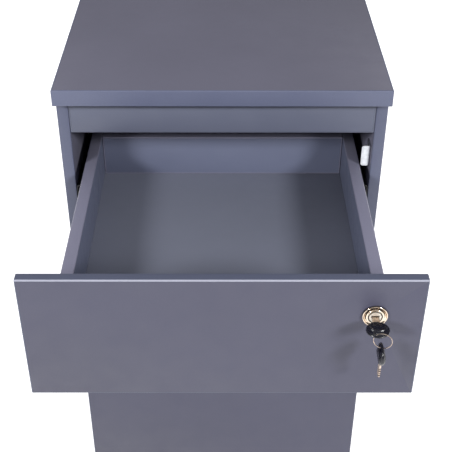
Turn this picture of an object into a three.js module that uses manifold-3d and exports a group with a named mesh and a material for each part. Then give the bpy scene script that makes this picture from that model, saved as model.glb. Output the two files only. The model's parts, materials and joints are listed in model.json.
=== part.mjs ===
// Three-drawer pedestal: a board carcass with an overhanging top, two box drawers and a file drawer on
// ball-bearing slides, and a cam lock with two keys on a split ring. The top drawer stands open.
// Millimetres: X is the width, +Y points to the back, +Z points up, and the feet stand on Z = 0.
import * as THREE from 'three';
import { mergeVertices } from 'three/addons/utils/BufferGeometryUtils.js';
import Module from 'manifold-3d';

const wasm = await Module();
wasm.setup();

// Boards
const GAP = 0.3;
const BOARD = 15;
const ARRIS = 0.8;

// How finely curves are drawn, and how far a cutting tool runs past the surface that it cuts
const ROUND_SEGMENTS = 32;
const SMALL_SEGMENTS = 16;
const CORNER_SEGMENTS = 4;
const PAST = 1;

// Carcass
const WIDTH = 420;
const DEPTH = 440;
const HEIGHT = 720;
const TOP_THICKNESS = 22;
const TOP_SIDE_OVERHANG = 1.7;
const TOP_FRONT_OVERHANG = 16;
const RAIL_HEIGHT = 46.4;
const FOOT_HEIGHT = 18;
const FOOT_RADIUS = 24;
const FOOT_INSET = 42;
const FOOT_PROFILE = [
  [0, 0],
  [FOOT_RADIUS - 5, 0],
  [FOOT_RADIUS - 4, 1],
  [FOOT_RADIUS, FOOT_HEIGHT - 3],
  [FOOT_RADIUS, FOOT_HEIGHT - GAP],
  [0, FOOT_HEIGHT - GAP],
];

// Drawers: each front covers the carcass edges, and each box hangs between the slides
const BUMPER_GAP = 1;
const FRONT_WIDTH = 420;
const FRONT_THICKNESS = 12;
const FRONT_GAP = 3;
const FRONT_TOP = 662;
const BOX_FRONT_HEIGHT = 160;
const FILE_FRONT_HEIGHT = 315;
const BOX_HALF_WIDTH = 182.3;
const BOX_LENGTH = 398;
const BOX_RISE = 20;
const BOX_WALL_HEIGHT = 75.7;
const FILE_WALL_HEIGHT = 220;
const FLOOR_RISE = 10.7;
const FLOOR_THICKNESS = 5;
const GROOVE_DEPTH = 6;
const TOP_DRAWER_OPEN = 301;

// Slides: three nested channels, measured out from the drawer wall
const SLIDE_RISE = 25;
const SLIDE_LENGTH = 398;
const SLIDE_START = 2;
const SLIDE_STEEL = 1.2;
const SLIDE_MEMBERS = {
  cabinet_member: { web: 12.1, reach: 3.6, half: 22.5, lip: 4.2 },
  intermediate_member: { web: 8.9, reach: 2.4, half: 17.4, lip: 3.2 },
  drawer_member: { web: 0, reach: 6.4, half: 13, lip: 3 },
};

// Lock, measured outwards from the top drawer's front face
const LOCK_X = 158.3;
const LOCK_Z = 615.8;
const ESCUTCHEON_RADIUS = 13.35;
const CYLINDER_RADIUS = 8.6;
const HEAD_RADIUS = 9.6;
const HEAD_OUT = 3;
const CYLINDER_BACK = -23.7;
const PLUG_RADIUS = 6.8;
const PLUG_FACE = 3.2;
const PLUG_ARRIS = 0.4;
const KEYWAY_PLAY = 0.4;
const KEYWAY_DEPTH = 19;
const TAIL_WIDTH = 7;
const TAIL_LENGTH = 6;
const TAIL_HOLE_RADIUS = 2;
const NUT_FLATS = 24;
const NUT_THICKNESS = 4;
const CAM_REACH = 33;
const CAM_WIDTH = 14;
const CAM_THICKNESS = 2;
const CAM_HUB_RADIUS = 9;
const CAM_CORNER = 3;

// Turned lock parts, as [radius, distance outwards] points
const BORE_RADIUS = PLUG_RADIUS + GAP;
const ESCUTCHEON_PROFILE = [
  [CYLINDER_RADIUS + GAP, GAP],
  [ESCUTCHEON_RADIUS, GAP],
  [ESCUTCHEON_RADIUS, 1.2],
  [ESCUTCHEON_RADIUS - 0.4, 2.2],
  [ESCUTCHEON_RADIUS - 1.1, 2.7],
  [ESCUTCHEON_RADIUS - 1.8, 2.3],
  [ESCUTCHEON_RADIUS - 2.4, 1.3],
  [HEAD_RADIUS + GAP, 0.9],
  [CYLINDER_RADIUS + GAP, 0.9],
  [CYLINDER_RADIUS + GAP, GAP],
];
const CYLINDER_PROFILE = [
  [BORE_RADIUS, CYLINDER_BACK],
  [CYLINDER_RADIUS, CYLINDER_BACK],
  [CYLINDER_RADIUS, 1.2],
  [HEAD_RADIUS, 1.2],
  [HEAD_RADIUS, HEAD_OUT - 0.5],
  [HEAD_RADIUS - 0.5, HEAD_OUT],
  [BORE_RADIUS, HEAD_OUT],
  [BORE_RADIUS, CYLINDER_BACK],
];
const LOCK_SEGMENTS = 40;

// Cam screw, as [radius, distance in front of the cam's back face] points
const CAM_SCREW_PROFILE = [
  [0, -2.4],
  [3, -2.4],
  [5.5, -1.4],
  [5.5, 0],
  [1.7, 0],
  [1.7, 5],
  [0, 5],
];

// Strike plate behind which the cam turns
const STRIKE_FRONT = 9;
const STRIKE_LOW = 597;
const STRIKE_HEIGHT = 30;
const STRIKE_STEEL = 1.5;
const STRIKE_FLANGE = 11.7;
const STRIKE_LEG = 22;
const STRIKE_CORNER = 3;
const STRIKE_SCREW_SPACING = 14;
const STRIKE_SCREW_BACK = 12;
const SCREW_SHANK_RADIUS = 1.5;
const SCREW_LENGTH = 9;
const STRIKE_SCREW_PROFILE = [
  [0, -SCREW_LENGTH],
  [SCREW_SHANK_RADIUS, 2 - SCREW_LENGTH],
  [SCREW_SHANK_RADIUS, GAP],
  [3.2, GAP],
  [3, 1.2],
  [1.8, 2],
  [0, 2.2],
];

// Keys: each is drawn about the middle of its ring slot, with the tip towards +Y
const BOW_HALF_WIDTH = 12.2;
const BOW_HALF_LENGTH = 11.5;
const BOW_THICKNESS = 4.4;
const PAD_HALF_WIDTH = 9.6;
const PAD_HALF_LENGTH = 7.6;
const PAD_THICKNESS = 7;
const PAD_INSET = 0.7;
const BOW_ROUND = 1.4;
const PAD_ROUND = 1.3;
const BOW_SEGMENTS = 18;
const RING_SLOT = [11, 4.2];
const RING_SLOT_CORNER = 1.2;
const SLOT_TO_END = 4.4;
const BLADE_LENGTH = 20;
const BLADE_HALF_WIDTH = 3.8;
const BLADE_THICKNESS = 1.9;
const TANG_HALF_WIDTH = 2.5;
const TANG_LENGTH = 8;
const BLADE_SHOULDER_TO_CUT = 6.5;
const CUT_PITCH = 3;
const CUT_HALF_MOUTH = 1.1;
const CUT_HALF_FLOOR = 0.3;
const TIP_LENGTH = 2.6;
const TIP_HALF_WIDTH = 1.2;
const BITTING = [0.9, 1.5, 0.7, 1.2];
const KEY_OUT = 30.4;
const SPLIT_RING_RADIUS = 9.8;
const SPLIT_RING_WIRE = 0.65;
const WIRE_SEGMENTS = 8;
const RING_TURN = THREE.MathUtils.degToRad(-15);
const RING_SIDE = 4.5;
const RING_FORWARD = -1.45;
const RING_DROP = 6.5;

// Places worked out from the sizes above
const CARCASS_TOP = HEIGHT - TOP_THICKNESS;
const INSIDE = WIDTH / 2 - BOARD;
const FRONT_BACK = -BUMPER_GAP;
const FRONT_FACE = FRONT_BACK - FRONT_THICKNESS;
const BOX_INSIDE = BOX_HALF_WIDTH - BOARD;
const SLIDE_WALL = BOX_HALF_WIDTH + GAP;
const QUARTER = Math.PI / 2;

function finish(color, roughness, metalness) {
  return new THREE.MeshStandardMaterial({ color, roughness, metalness });
}

const LAMINATE = finish(0x6b6e80, 0.55, 0);
const SLIDE_BLACK = finish(0x1b1c20, 0.45, 0.7);
const NICKEL = finish(0xc9c6c0, 0.22, 1);
const ZINC = finish(0xa9acb8, 0.4, 0.8);
const BLACK_PLASTIC = finish(0x15161a, 0.35, 0);
const FOOT_PLASTIC = finish(0x202126, 0.6, 0);

// Adds a named mesh to a group, at a place in that group.
function add(group, name, geometry, material, x = 0, y = 0, z = 0) {
  const mesh = new THREE.Mesh(geometry, material);
  mesh.name = name;
  mesh.position.set(x, y, z);
  group.add(mesh);
  return mesh;
}

function rectangle(width, height) {
  const shape = new THREE.Shape();
  shape.moveTo(-width / 2, -height / 2);
  shape.lineTo(width / 2, -height / 2);
  shape.lineTo(width / 2, height / 2);
  shape.lineTo(-width / 2, height / 2);
  shape.closePath();
  return shape;
}

// A rectangle whose corners are round arcs.
function roundedRectangle(width, height, radius) {
  const across = width / 2 - radius;
  const up = height / 2 - radius;
  const shape = new THREE.Shape();
  shape.absarc(across, up, radius, 0, QUARTER);
  shape.absarc(-across, up, radius, QUARTER, 2 * QUARTER);
  shape.absarc(-across, -up, radius, 2 * QUARTER, 3 * QUARTER);
  shape.absarc(across, -up, radius, 3 * QUARTER, 4 * QUARTER);
  return shape;
}

function polygon(points) {
  return new THREE.Shape(points.map(([x, y]) => new THREE.Vector2(x, y)));
}

function circle(x, y, radius) {
  return new THREE.Path().absarc(x, y, radius, 0, 2 * Math.PI);
}

// Extrudes an outline with square edges, centred on its own thickness.
function plate(outline, thickness, curveSegments = 12) {
  const geometry = new THREE.ExtrudeGeometry(outline, {
    depth: thickness,
    bevelEnabled: false,
    curveSegments,
  });
  return geometry.translate(0, 0, -thickness / 2);
}

// Extrudes an outline drawn at its full size, with both rims rounded inwards.
function pillow(outline, thickness, round, curveSegments = 12) {
  const depth = thickness - 2 * round;
  const geometry = new THREE.ExtrudeGeometry(outline, {
    depth,
    bevelThickness: round,
    bevelSize: round,
    bevelOffset: -round,
    bevelSegments: 2,
    curveSegments,
  });
  return geometry.translate(0, 0, -depth / 2);
}

// Extrudes an outline drawn in X and Z along Y, between two values of Y.
function alongY(outline, low, high, curveSegments = 12) {
  return plate(outline, high - low, curveSegments).rotateX(QUARTER).translate(0, (low + high) / 2, 0);
}

// Adds a board that fills three ranges, extruded through its thinnest side, with its arrises rounded.
function addBoard(group, name, [x0, x1], [y0, y1], [z0, z1], holes = []) {
  const size = [x1 - x0, y1 - y0, z1 - z0];
  const thin = size.indexOf(Math.min(...size));
  const outlines = [[size[2], size[1]], [size[0], size[2]], [size[0], size[1]]];
  const outline = rectangle(...outlines[thin]);
  outline.holes.push(...holes);
  const geometry = pillow(outline, size[thin], ARRIS);
  if (thin === 0) geometry.rotateY(QUARTER);
  if (thin === 1) geometry.rotateX(QUARTER);
  return add(group, name, geometry, LAMINATE, (x0 + x1) / 2, (y0 + y1) / 2, (z0 + z1) / 2);
}

// A round pin that lies along X.
function pin(radius, length) {
  return new THREE.CylinderGeometry(radius, radius, length, SMALL_SEGMENTS).rotateZ(QUARTER);
}

// Revolves a profile of [radius, outwards] points about the lock's axis. Outwards is towards -Y.
function turned(profile, segments = ROUND_SEGMENTS) {
  const points = profile.map(([radius, outwards]) => new THREE.Vector2(radius, -outwards));
  return new THREE.LatheGeometry(points.reverse(), segments);
}

// The closed solid of a geometry, for joining and cutting.
function solid(geometry) {
  const bare = geometry.clone();
  bare.deleteAttribute('normal');
  bare.deleteAttribute('uv');
  const merged = mergeVertices(bare);
  return new wasm.Manifold(new wasm.Mesh({
    numProp: 3,
    vertProperties: merged.attributes.position.array,
    triVerts: Uint32Array.from(merged.index.array),
  }));
}

function geometryOf(manifold) {
  const { vertProperties, triVerts } = manifold.getMesh();
  const geometry = new THREE.BufferGeometry();
  geometry.setAttribute('position', new THREE.BufferAttribute(vertProperties, 3));
  geometry.setIndex(new THREE.BufferAttribute(triVerts, 1));
  geometry.computeVertexNormals();
  return geometry;
}

function joined(geometry, ...others) {
  return geometryOf(others.reduce((whole, other) => whole.add(solid(other)), solid(geometry)));
}

function cut(geometry, ...tools) {
  return geometryOf(tools.reduce((whole, tool) => whole.subtract(solid(tool)), solid(geometry)));
}

// Carcass: two sides, bottom, back, front rail and an overhanging top, on four round feet.
function makeCarcass(unit) {
  const half = WIDTH / 2;
  const topHalf = half + TOP_SIDE_OVERHANG;
  const between = [-INSIDE + GAP, INSIDE - GAP];
  const upright = [FOOT_HEIGHT, CARCASS_TOP - GAP];
  addBoard(unit, 'top_panel', [-topHalf, topHalf], [-TOP_FRONT_OVERHANG, DEPTH], [CARCASS_TOP, HEIGHT]);
  addBoard(unit, 'left_side_panel', [-half, -INSIDE], [0, DEPTH], upright);
  const right = addBoard(unit, 'right_side_panel', [INSIDE, half], [0, DEPTH], upright);
  right.geometry = cut(right.geometry, ...strikeScrewHoles(right.position));
  addBoard(unit, 'back_panel', between, [DEPTH - BOARD, DEPTH], upright);
  addBoard(unit, 'bottom_panel', between, [0, DEPTH - BOARD - GAP], [FOOT_HEIGHT, FOOT_HEIGHT + BOARD]);
  addBoard(unit, 'top_front_rail', between, [0, BOARD], [CARCASS_TOP - RAIL_HEIGHT, CARCASS_TOP - GAP]);

  const footProfile = FOOT_PROFILE.map(([radius, z]) => new THREE.Vector2(radius, z));
  const corners = [['left', -1], ['right', 1]];
  const rows = [['front', FOOT_INSET], ['rear', DEPTH - FOOT_INSET]];
  for (const [rowName, y] of rows) {
    for (const [sideName, side] of corners) {
      const x = side * (half - FOOT_INSET);
      const foot = add(unit, `${rowName}_${sideName}_foot`,
        new THREE.LatheGeometry(footProfile, ROUND_SEGMENTS), FOOT_PLASTIC, x, y, 0);
      foot.rotation.x = QUARTER;
    }
  }
}

// Heights of the two strike screws, and their distance back from the carcass front.
function strikeScrewPlaces() {
  const y = STRIKE_FRONT + STRIKE_SCREW_BACK;
  const middle = STRIKE_LOW + STRIKE_HEIGHT / 2;
  const offset = STRIKE_SCREW_SPACING / 2;
  return [['lower', y, middle - offset], ['upper', y, middle + offset]];
}

// Pilot-hole cutters for the strike screws, in the side panel's own frame.
function strikeScrewHoles(panelPosition) {
  const length = SCREW_LENGTH + 2 * PAST;
  return strikeScrewPlaces().map(([, y, z]) => {
    const hole = pin(SCREW_SHANK_RADIUS + GAP, length);
    return hole.translate(-BOARD / 2 + length / 2 - PAST, y - panelPosition.y, z - panelPosition.z);
  });
}

// Strike plate: a flange across the gap beside the drawer, and a leg screwed to the side panel.
function makeStrike(unit) {
  const x = INSIDE - GAP;
  const z = STRIKE_LOW + STRIKE_HEIGHT / 2;
  const flangeOutline = roundedRectangle(STRIKE_FLANGE + STRIKE_CORNER, STRIKE_HEIGHT, STRIKE_CORNER);
  const flange = plate(flangeOutline, STRIKE_STEEL, CORNER_SEGMENTS);
  flange.rotateX(QUARTER).translate((STRIKE_CORNER - STRIKE_FLANGE) / 2, STRIKE_STEEL / 2, 0);
  const beyondWidth = 2 * STRIKE_CORNER;
  const beyond = new THREE.BoxGeometry(beyondWidth, beyondWidth, STRIKE_HEIGHT + 2 * PAST);
  beyond.translate(beyondWidth / 2, STRIKE_STEEL / 2, 0);
  const legOutline = roundedRectangle(STRIKE_HEIGHT, STRIKE_LEG, STRIKE_CORNER);
  const leg = plate(legOutline, STRIKE_STEEL, CORNER_SEGMENTS);
  leg.rotateY(QUARTER).translate(-STRIKE_STEEL / 2, STRIKE_LEG / 2, 0);
  const root = new THREE.BoxGeometry(STRIKE_STEEL, STRIKE_LEG / 2, STRIKE_HEIGHT);
  root.translate(-STRIKE_STEEL / 2, STRIKE_LEG / 4, 0);
  const holeLength = 2 * (STRIKE_STEEL + PAST);
  const holes = strikeScrewPlaces().map(([, y, screwZ]) => {
    const hole = pin(SCREW_SHANK_RADIUS + GAP, holeLength);
    return hole.translate(0, y - STRIKE_FRONT, screwZ - z);
  });
  const bracket = cut(joined(cut(flange, beyond), leg, root), ...holes);
  add(unit, 'strike_plate', bracket, ZINC, x, STRIKE_FRONT, z);

  const screwProfile = STRIKE_SCREW_PROFILE.map(([radius, out]) => new THREE.Vector2(radius, out));
  for (const [name, y, screwZ] of strikeScrewPlaces()) {
    const screw = add(unit, `strike_screw_${name}`,
      new THREE.LatheGeometry(screwProfile, SMALL_SEGMENTS), ZINC, x - STRIKE_STEEL, y, screwZ);
    screw.rotation.z = QUARTER;
  }
}

// Section of one slide member, drawn in X and Z about the slide's middle. side is -1 or 1.
function channelSection({ web, reach, half, lip }, side) {
  const steel = Math.sign(reach - web) * SLIDE_STEEL;
  const inner = half - SLIDE_STEEL;
  const outline = [
    [web, -half],
    [reach, -half],
    [reach, lip - half],
    [reach - steel, lip - half],
    [reach - steel, -inner],
    [web + steel, -inner],
    [web + steel, inner],
    [reach - steel, inner],
    [reach - steel, half - lip],
    [reach, half - lip],
    [reach, half],
    [web, half],
  ];
  return polygon(outline.map(([out, z]) => [side * (SLIDE_WALL + out), z]));
}

// Adds the left and right slides of one drawer: a fixed, an intermediate and a drawer member each.
function makeSlides(groups, drawerName, z) {
  for (const [sideName, side] of [['left', -1], ['right', 1]]) {
    for (const [memberName, section] of Object.entries(SLIDE_MEMBERS)) {
      const channel = alongY(channelSection(section, side), SLIDE_START, SLIDE_START + SLIDE_LENGTH);
      add(groups[memberName], `${drawerName}_${sideName}_${memberName}`, channel, SLIDE_BLACK, 0, 0, z);
    }
  }
}

// A side wall of a drawer box, with a groove for the floor.
function wallSection(side, height) {
  const floorLow = FLOOR_RISE - GAP;
  const floorHigh = FLOOR_RISE + FLOOR_THICKNESS + GAP;
  return polygon([
    [BOX_HALF_WIDTH, 0],
    [BOX_HALF_WIDTH, height],
    [BOX_INSIDE, height],
    [BOX_INSIDE, floorHigh],
    [BOX_INSIDE + GROOVE_DEPTH, floorHigh],
    [BOX_INSIDE + GROOVE_DEPTH, floorLow],
    [BOX_INSIDE, floorLow],
    [BOX_INSIDE, 0],
  ].map(([x, z]) => [side * x, z]));
}

// One drawer on its slides, drawn closed and then pulled out by open.
function makeDrawer(unit, { name, frontLow, frontHeight, wallHeight, open, lockHole }) {
  const drawer = new THREE.Group();
  const middle = new THREE.Group();
  drawer.position.y = -open;
  middle.position.y = -open / 2;
  unit.add(drawer, middle);

  const wallLow = frontLow + BOX_RISE;
  const boxFront = FRONT_BACK + GAP;
  const boxBack = FRONT_BACK + BOX_LENGTH;
  const frontZ = frontLow + frontHeight / 2;
  const holes = lockHole ? [circle(LOCK_X, LOCK_Z - frontZ, CYLINDER_RADIUS + GAP)] : [];
  addBoard(drawer, `${name}_front`, [-FRONT_WIDTH / 2, FRONT_WIDTH / 2], [FRONT_FACE, FRONT_BACK],
    [frontLow, frontLow + frontHeight], holes);
  for (const [sideName, side] of [['left', -1], ['right', 1]]) {
    const wall = alongY(wallSection(side, wallHeight), boxFront, boxBack);
    add(drawer, `${name}_${sideName}_wall`, wall, LAMINATE, 0, 0, wallLow);
  }
  const floorTop = wallLow + FLOOR_RISE + FLOOR_THICKNESS;
  addBoard(drawer, `${name}_back_wall`, [-BOX_INSIDE + GAP, BOX_INSIDE - GAP],
    [boxBack - BOARD, boxBack], [floorTop + GAP, wallLow + wallHeight]);
  const floorHalf = BOX_INSIDE + GROOVE_DEPTH - GAP;
  addBoard(drawer, `${name}_floor`, [-floorHalf, floorHalf], [boxFront, boxBack],
    [floorTop - FLOOR_THICKNESS, floorTop]);

  const groups = { cabinet_member: unit, intermediate_member: middle, drawer_member: drawer };
  makeSlides(groups, name, wallLow + SLIDE_RISE);
  return drawer;
}

// The plug turns in the cylinder, is slotted for the key, and carries the cam on a square tail.
function plugGeometry() {
  const back = CYLINDER_BACK - GAP;
  const tailBack = back - CAM_THICKNESS;
  const body = turned([[0, back], [PLUG_RADIUS, back], [PLUG_RADIUS, PLUG_FACE - PLUG_ARRIS],
    [PLUG_RADIUS - PLUG_ARRIS, PLUG_FACE], [0, PLUG_FACE]]);
  const tail = new THREE.BoxGeometry(TAIL_WIDTH, TAIL_LENGTH, TAIL_WIDTH);
  tail.translate(0, -tailBack - TAIL_LENGTH / 2, 0);
  const keyway = new THREE.BoxGeometry(2 * (BLADE_HALF_WIDTH + KEYWAY_PLAY), KEYWAY_DEPTH + PAST,
    BLADE_THICKNESS + 2 * KEYWAY_PLAY);
  keyway.translate(0, (KEYWAY_DEPTH - PAST) / 2 - PLUG_FACE, 0);
  const holeFront = tailBack + TAIL_LENGTH;
  const screwHole = turned([[0, tailBack - PAST], [TAIL_HOLE_RADIUS, tailBack - PAST],
    [TAIL_HOLE_RADIUS, holeFront], [0, holeFront]], SMALL_SEGMENTS);
  return cut(joined(body, tail), keyway, screwHole);
}

function makeLock(drawer) {
  const lock = new THREE.Group();
  lock.position.set(LOCK_X, FRONT_FACE, LOCK_Z);
  drawer.add(lock);

  add(lock, 'escutcheon_ring', turned(ESCUTCHEON_PROFILE, LOCK_SEGMENTS), NICKEL);
  add(lock, 'lock_cylinder', turned(CYLINDER_PROFILE, LOCK_SEGMENTS), NICKEL);
  add(lock, 'lock_plug', plugGeometry(), NICKEL);

  const corner = NUT_FLATS / Math.sqrt(3);
  const hexagon = Array.from({ length: 6 }, (_, i) => {
    const angle = i * Math.PI / 3;
    return [corner * Math.cos(angle), corner * Math.sin(angle)];
  });
  const nut = polygon(hexagon);
  nut.holes.push(circle(0, 0, CYLINDER_RADIUS + GAP));
  const nutFront = FRONT_THICKNESS + GAP;
  add(lock, 'lock_nut', alongY(nut, nutFront, nutFront + NUT_THICKNESS), ZINC);

  // The cam points up when unlocked and turns a quarter to reach behind the strike plate.
  const cam = new THREE.Shape();
  const armCorner = CAM_WIDTH / 2 - CAM_CORNER;
  const armEnd = CAM_REACH - CAM_CORNER;
  cam.absarc(0, 0, CAM_HUB_RADIUS, Math.PI, 2 * Math.PI);
  cam.lineTo(CAM_WIDTH / 2, CAM_HUB_RADIUS);
  cam.absarc(armCorner, armEnd, CAM_CORNER, 0, QUARTER);
  cam.absarc(-armCorner, armEnd, CAM_CORNER, QUARTER, 2 * QUARTER);
  cam.lineTo(-CAM_WIDTH / 2, CAM_HUB_RADIUS);
  cam.closePath();
  cam.holes.push(rectangle(TAIL_WIDTH + 2 * GAP, TAIL_WIDTH + 2 * GAP));
  const camFront = -CYLINDER_BACK + 2 * GAP;
  add(lock, 'lock_cam', alongY(cam, camFront, camFront + CAM_THICKNESS, 8), ZINC);

  const seat = -camFront - CAM_THICKNESS - GAP;
  const screw = CAM_SCREW_PROFILE.map(([radius, out]) => [radius, seat + out]);
  add(lock, 'cam_screw', turned(screw, ROUND_SEGMENTS), ZINC);
  return lock;
}

// Outline of the key's metal blade, from the tang inside the bow to the bevelled tip.
function bladeOutline(root) {
  const tip = root + BLADE_LENGTH;
  const edge = [[TANG_HALF_WIDTH, root - TANG_LENGTH], [TANG_HALF_WIDTH, root + GAP],
    [BLADE_HALF_WIDTH, root + GAP]];
  BITTING.forEach((depth, i) => {
    const y = root + BLADE_SHOULDER_TO_CUT + CUT_PITCH * i;
    edge.push([BLADE_HALF_WIDTH, y - CUT_HALF_MOUTH], [BLADE_HALF_WIDTH - depth, y - CUT_HALF_FLOOR]);
    edge.push([BLADE_HALF_WIDTH - depth, y + CUT_HALF_FLOOR], [BLADE_HALF_WIDTH, y + CUT_HALF_MOUTH]);
  });
  edge.push([BLADE_HALF_WIDTH, tip - TIP_LENGTH], [TIP_HALF_WIDTH, tip]);
  const mirrored = edge.map(([x, y]) => [-x, y]).reverse();
  return polygon([...edge, ...mirrored]);
}

// A key: a metal blade in a moulded bow with a raised pad on both faces and a slot for the ring.
function makeKey(group, prefix) {
  const bowMiddle = BOW_HALF_LENGTH - SLOT_TO_END;
  const root = bowMiddle + BOW_HALF_LENGTH;
  const outline = new THREE.Shape().absellipse(0, bowMiddle, BOW_HALF_WIDTH, BOW_HALF_LENGTH,
    0, 2 * Math.PI);
  const padMiddle = root - PAD_INSET - PAD_HALF_LENGTH;
  const padOutline = new THREE.Shape().absellipse(0, padMiddle, PAD_HALF_WIDTH, PAD_HALF_LENGTH,
    0, 2 * Math.PI);
  const slotOutline = roundedRectangle(...RING_SLOT, RING_SLOT_CORNER);
  const slotCutter = plate(slotOutline, PAD_THICKNESS + 2 * PAST, CORNER_SEGMENTS);
  const pocket = new THREE.BoxGeometry(2 * (TANG_HALF_WIDTH + GAP), TANG_LENGTH + 2 * PAST,
    BLADE_THICKNESS + 2 * GAP);
  pocket.translate(0, root - TANG_LENGTH / 2 + PAST - GAP, 0);
  const body = joined(pillow(outline, BOW_THICKNESS, BOW_ROUND, BOW_SEGMENTS),
    pillow(padOutline, PAD_THICKNESS, PAD_ROUND, SMALL_SEGMENTS));
  add(group, `${prefix}_bow`, cut(body, slotCutter, pocket), BLACK_PLASTIC);
  add(group, `${prefix}_blade`, plate(bladeOutline(root), BLADE_THICKNESS), NICKEL);
}

// The key in the lock, the split ring through its bow, and the spare key that hangs from the ring.
function makeKeys(lock) {
  const key = new THREE.Group();
  key.position.y = -KEY_OUT;
  lock.add(key);
  makeKey(key, 'key');

  const torus = new THREE.TorusGeometry(SPLIT_RING_RADIUS, SPLIT_RING_WIRE, WIRE_SEGMENTS, LOCK_SEGMENTS);
  const ring = add(key, 'split_ring', torus.rotateX(QUARTER), NICKEL, RING_SIDE, RING_FORWARD, -RING_DROP);
  ring.rotation.z = RING_TURN;

  const spare = new THREE.Group();
  const ringBottom = -RING_DROP - SPLIT_RING_RADIUS;
  const hang = SPLIT_RING_WIRE + 2 * GAP - RING_SLOT[1] / 2;
  spare.position.set(RING_SIDE, RING_FORWARD, ringBottom + hang);
  const across = new THREE.Vector3(0, -1, 0);
  const down = new THREE.Vector3(0, 0, -1);
  const through = new THREE.Vector3(1, 0, 0);
  spare.setRotationFromMatrix(new THREE.Matrix4().makeBasis(across, down, through));
  key.add(spare);
  makeKey(spare, 'spare_key');
}

const unit = new THREE.Group();
makeCarcass(unit);
makeStrike(unit);
const middleLow = FRONT_TOP - 2 * BOX_FRONT_HEIGHT - FRONT_GAP;
const boxSizes = { frontHeight: BOX_FRONT_HEIGHT, wallHeight: BOX_WALL_HEIGHT };
const topDrawer = makeDrawer(unit, {
  name: 'top_drawer',
  frontLow: FRONT_TOP - BOX_FRONT_HEIGHT,
  open: TOP_DRAWER_OPEN,
  lockHole: true,
  ...boxSizes,
});
makeDrawer(unit, { name: 'middle_drawer', frontLow: middleLow, open: 0, ...boxSizes });
makeDrawer(unit, {
  name: 'file_drawer',
  frontLow: middleLow - FRONT_GAP - FILE_FRONT_HEIGHT,
  frontHeight: FILE_FRONT_HEIGHT,
  wallHeight: FILE_WALL_HEIGHT,
  open: 0,
});
makeKeys(makeLock(topDrawer));

// The origin is the middle of the whole object's footprint, on the floor.
const extent = new THREE.Box3().setFromObject(unit);
unit.position.y = -(extent.min.y + extent.max.y) / 2;

export default unit;
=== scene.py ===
"""Looks of a three-drawer pedestal whose top drawer stands open with keys in its lock.

Every piece is built in the row frame, in metres, round the CAD node that it stands for.
It rides on that node's body.
"""
import json
import math

import bmesh
import bpy
from mathutils import Matrix, Vector


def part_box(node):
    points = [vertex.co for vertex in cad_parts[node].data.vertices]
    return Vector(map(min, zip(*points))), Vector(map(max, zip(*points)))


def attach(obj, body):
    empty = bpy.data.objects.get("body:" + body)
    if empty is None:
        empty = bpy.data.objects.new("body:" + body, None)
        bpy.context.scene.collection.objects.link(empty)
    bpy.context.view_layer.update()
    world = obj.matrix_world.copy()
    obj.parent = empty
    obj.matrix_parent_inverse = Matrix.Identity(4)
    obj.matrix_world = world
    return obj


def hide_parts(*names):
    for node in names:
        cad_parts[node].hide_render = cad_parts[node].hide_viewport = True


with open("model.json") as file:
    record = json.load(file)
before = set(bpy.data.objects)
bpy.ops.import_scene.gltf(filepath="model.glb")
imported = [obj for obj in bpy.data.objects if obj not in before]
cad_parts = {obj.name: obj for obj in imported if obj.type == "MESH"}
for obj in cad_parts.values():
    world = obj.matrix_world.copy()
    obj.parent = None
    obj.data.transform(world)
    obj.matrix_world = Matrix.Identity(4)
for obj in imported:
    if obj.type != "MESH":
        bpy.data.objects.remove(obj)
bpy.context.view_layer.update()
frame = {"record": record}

MM = 0.001
X, Y, Z = 0, 1, 2
BODY_OF = {n: b for b, nodes in frame["record"]["behaviour"]["bodies"].items() for n in nodes}

# The clearance between neighbouring pieces, which is the CAD's
GAP = 0.3 * MM

# Boards
ARRIS = 1.1 * MM
FRONT_ARRIS = 1.4 * MM
BAND = 1.8 * MM
SEAM_WIDTH = 0.16 * MM
SEAM_DEPTH = 0.06 * MM
BOARD_CORNER = 1.0 * MM
LEAST_CORNER = 0.1 * MM
GROOVE_EDGE = 0.3 * MM
NEAR = 0.01 * MM
ARC_STEPS = 5
MERGE_DISTANCE = 1e-7
DRAWERS = ("top_drawer", "middle_drawer", "file_drawer")
SIDES = (("left", -1), ("right", 1))

# A turned profile's points on its axis stand this far off it, so that no faces collapse, in millimetres
AXIS = 0.01


# ---------------------------------------------------------------- materials

IOR = 1.5
COAT_ROUGHNESS = 0.12
NOISE_SPAN, RAMP_STOPS = (0.3, 0.7), (0.35, 0.65)
PATCH_DETAIL = 4.0
SPECKLE_SHARE, SPECKLE_PER_GRAIN, SPECKLE_DETAIL = 0.4, 0.6, 2.0
SMEARS_PER_PATCH, SMEAR_DETAIL = 7, 5.0
RELIEF_DETAIL = 3.0
FLOOR_GLOW = 0.72


def noise(tree, coords, scale, detail, stretch=None):
    """Noise in object space, at `scale` features a metre, squeezed along the axes by `stretch`."""
    node = tree.nodes.new("ShaderNodeTexNoise")
    node.inputs["Scale"].default_value = scale
    node.inputs["Detail"].default_value = detail
    source = coords.outputs["Object"]
    if stretch:
        mapping = tree.nodes.new("ShaderNodeMapping")
        mapping.inputs["Scale"].default_value = stretch
        tree.links.new(source, mapping.inputs["Vector"])
        source = mapping.outputs["Vector"]
    tree.links.new(source, node.inputs["Vector"])
    return node


def ranged(tree, source, low, high):
    """Maps the usual span of a noise factor onto low..high."""
    node = tree.nodes.new("ShaderNodeMapRange")
    node.inputs["From Min"].default_value, node.inputs["From Max"].default_value = NOISE_SPAN
    node.inputs["To Min"].default_value = low
    node.inputs["To Max"].default_value = high
    tree.links.new(source, node.inputs["Value"])
    return node


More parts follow.
